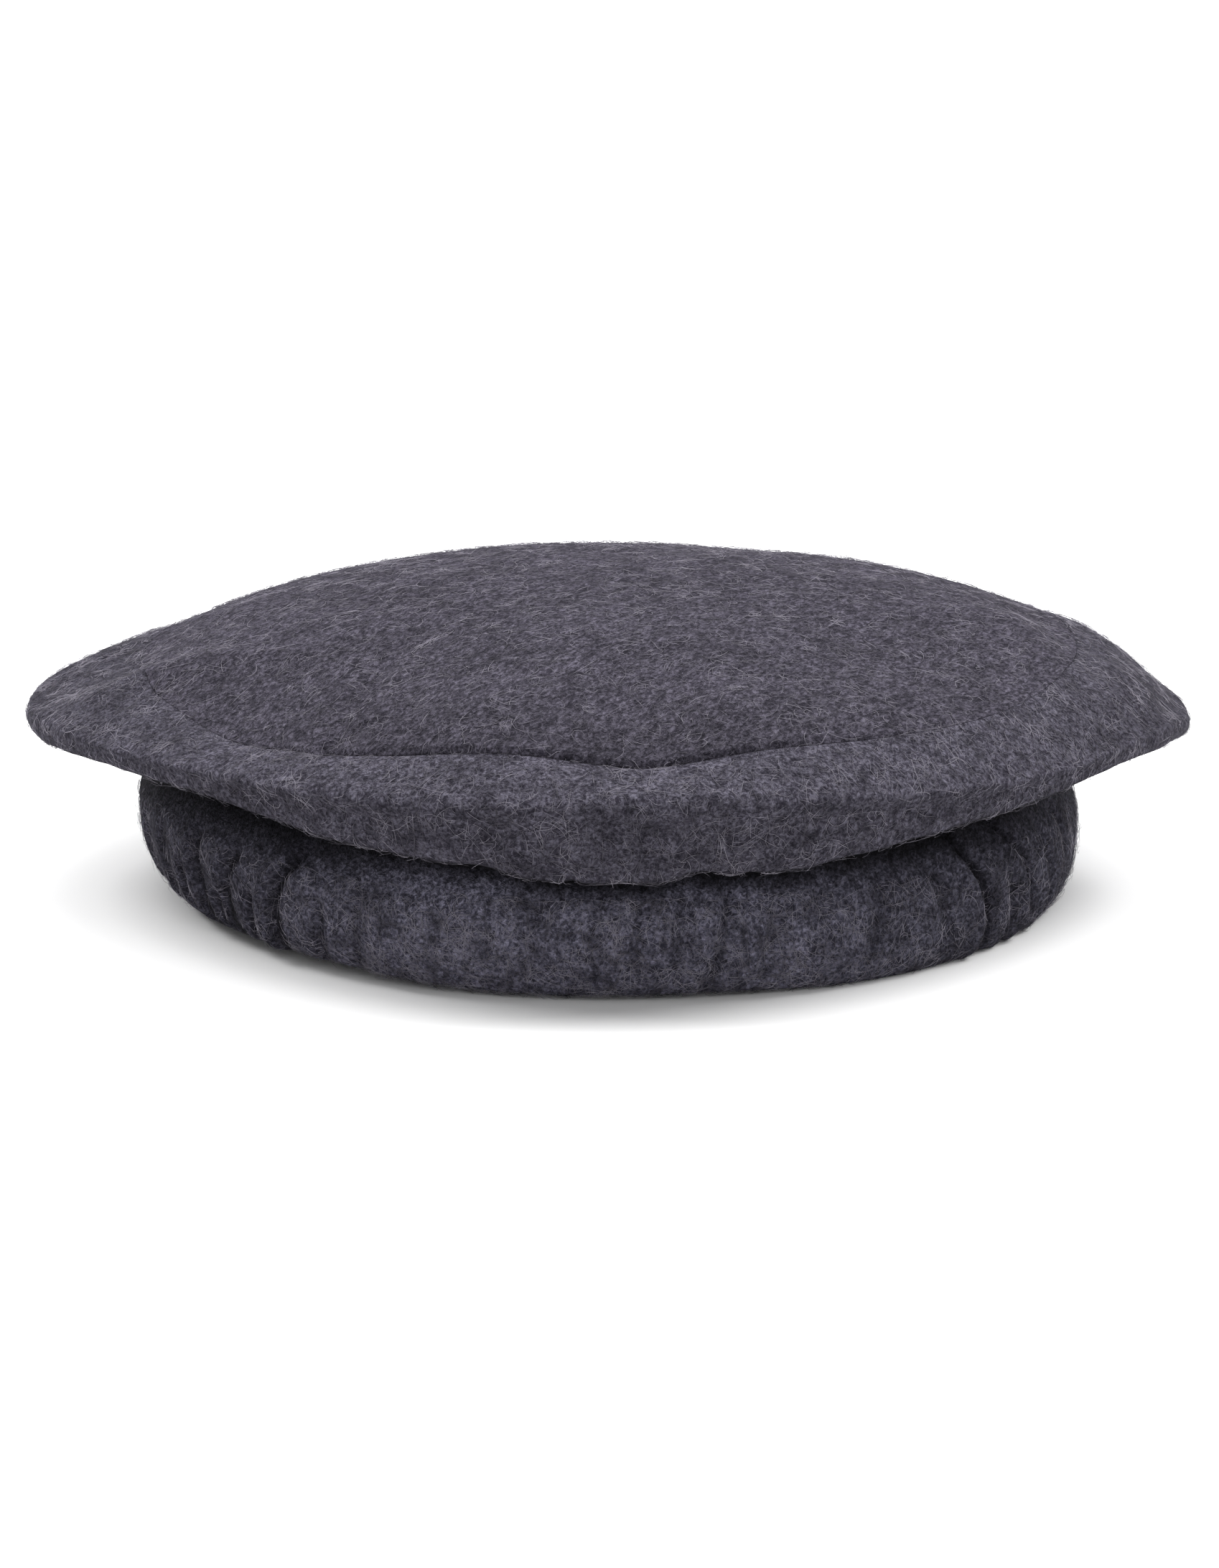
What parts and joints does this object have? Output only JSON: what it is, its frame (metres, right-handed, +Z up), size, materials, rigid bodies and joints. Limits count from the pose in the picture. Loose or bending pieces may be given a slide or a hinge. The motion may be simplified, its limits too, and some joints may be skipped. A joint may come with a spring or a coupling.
{
  "type": "rolled wool cap",
  "caption": "Soft round felted-wool cap with a broad domed crown over a thick rolled brim, resting on the brim.",
  "frame": {"origin": "on the surface that the brim rests on, under the middle of the head opening", "axes": "+Z up through the crown, -Y towards the front, +X towards the wearer's left ear"},
  "size_m": [0.2902, 0.2536, 0.0771],
  "materials": {
    "felted_wool": "matt, dense, hairy fulled wool"
  },
  "bodies": {
    "root": {"crown_top": "felted_wool", "crown_side": "felted_wool", "rolled_brim": "felted_wool"}
  },
  "joints": []
}
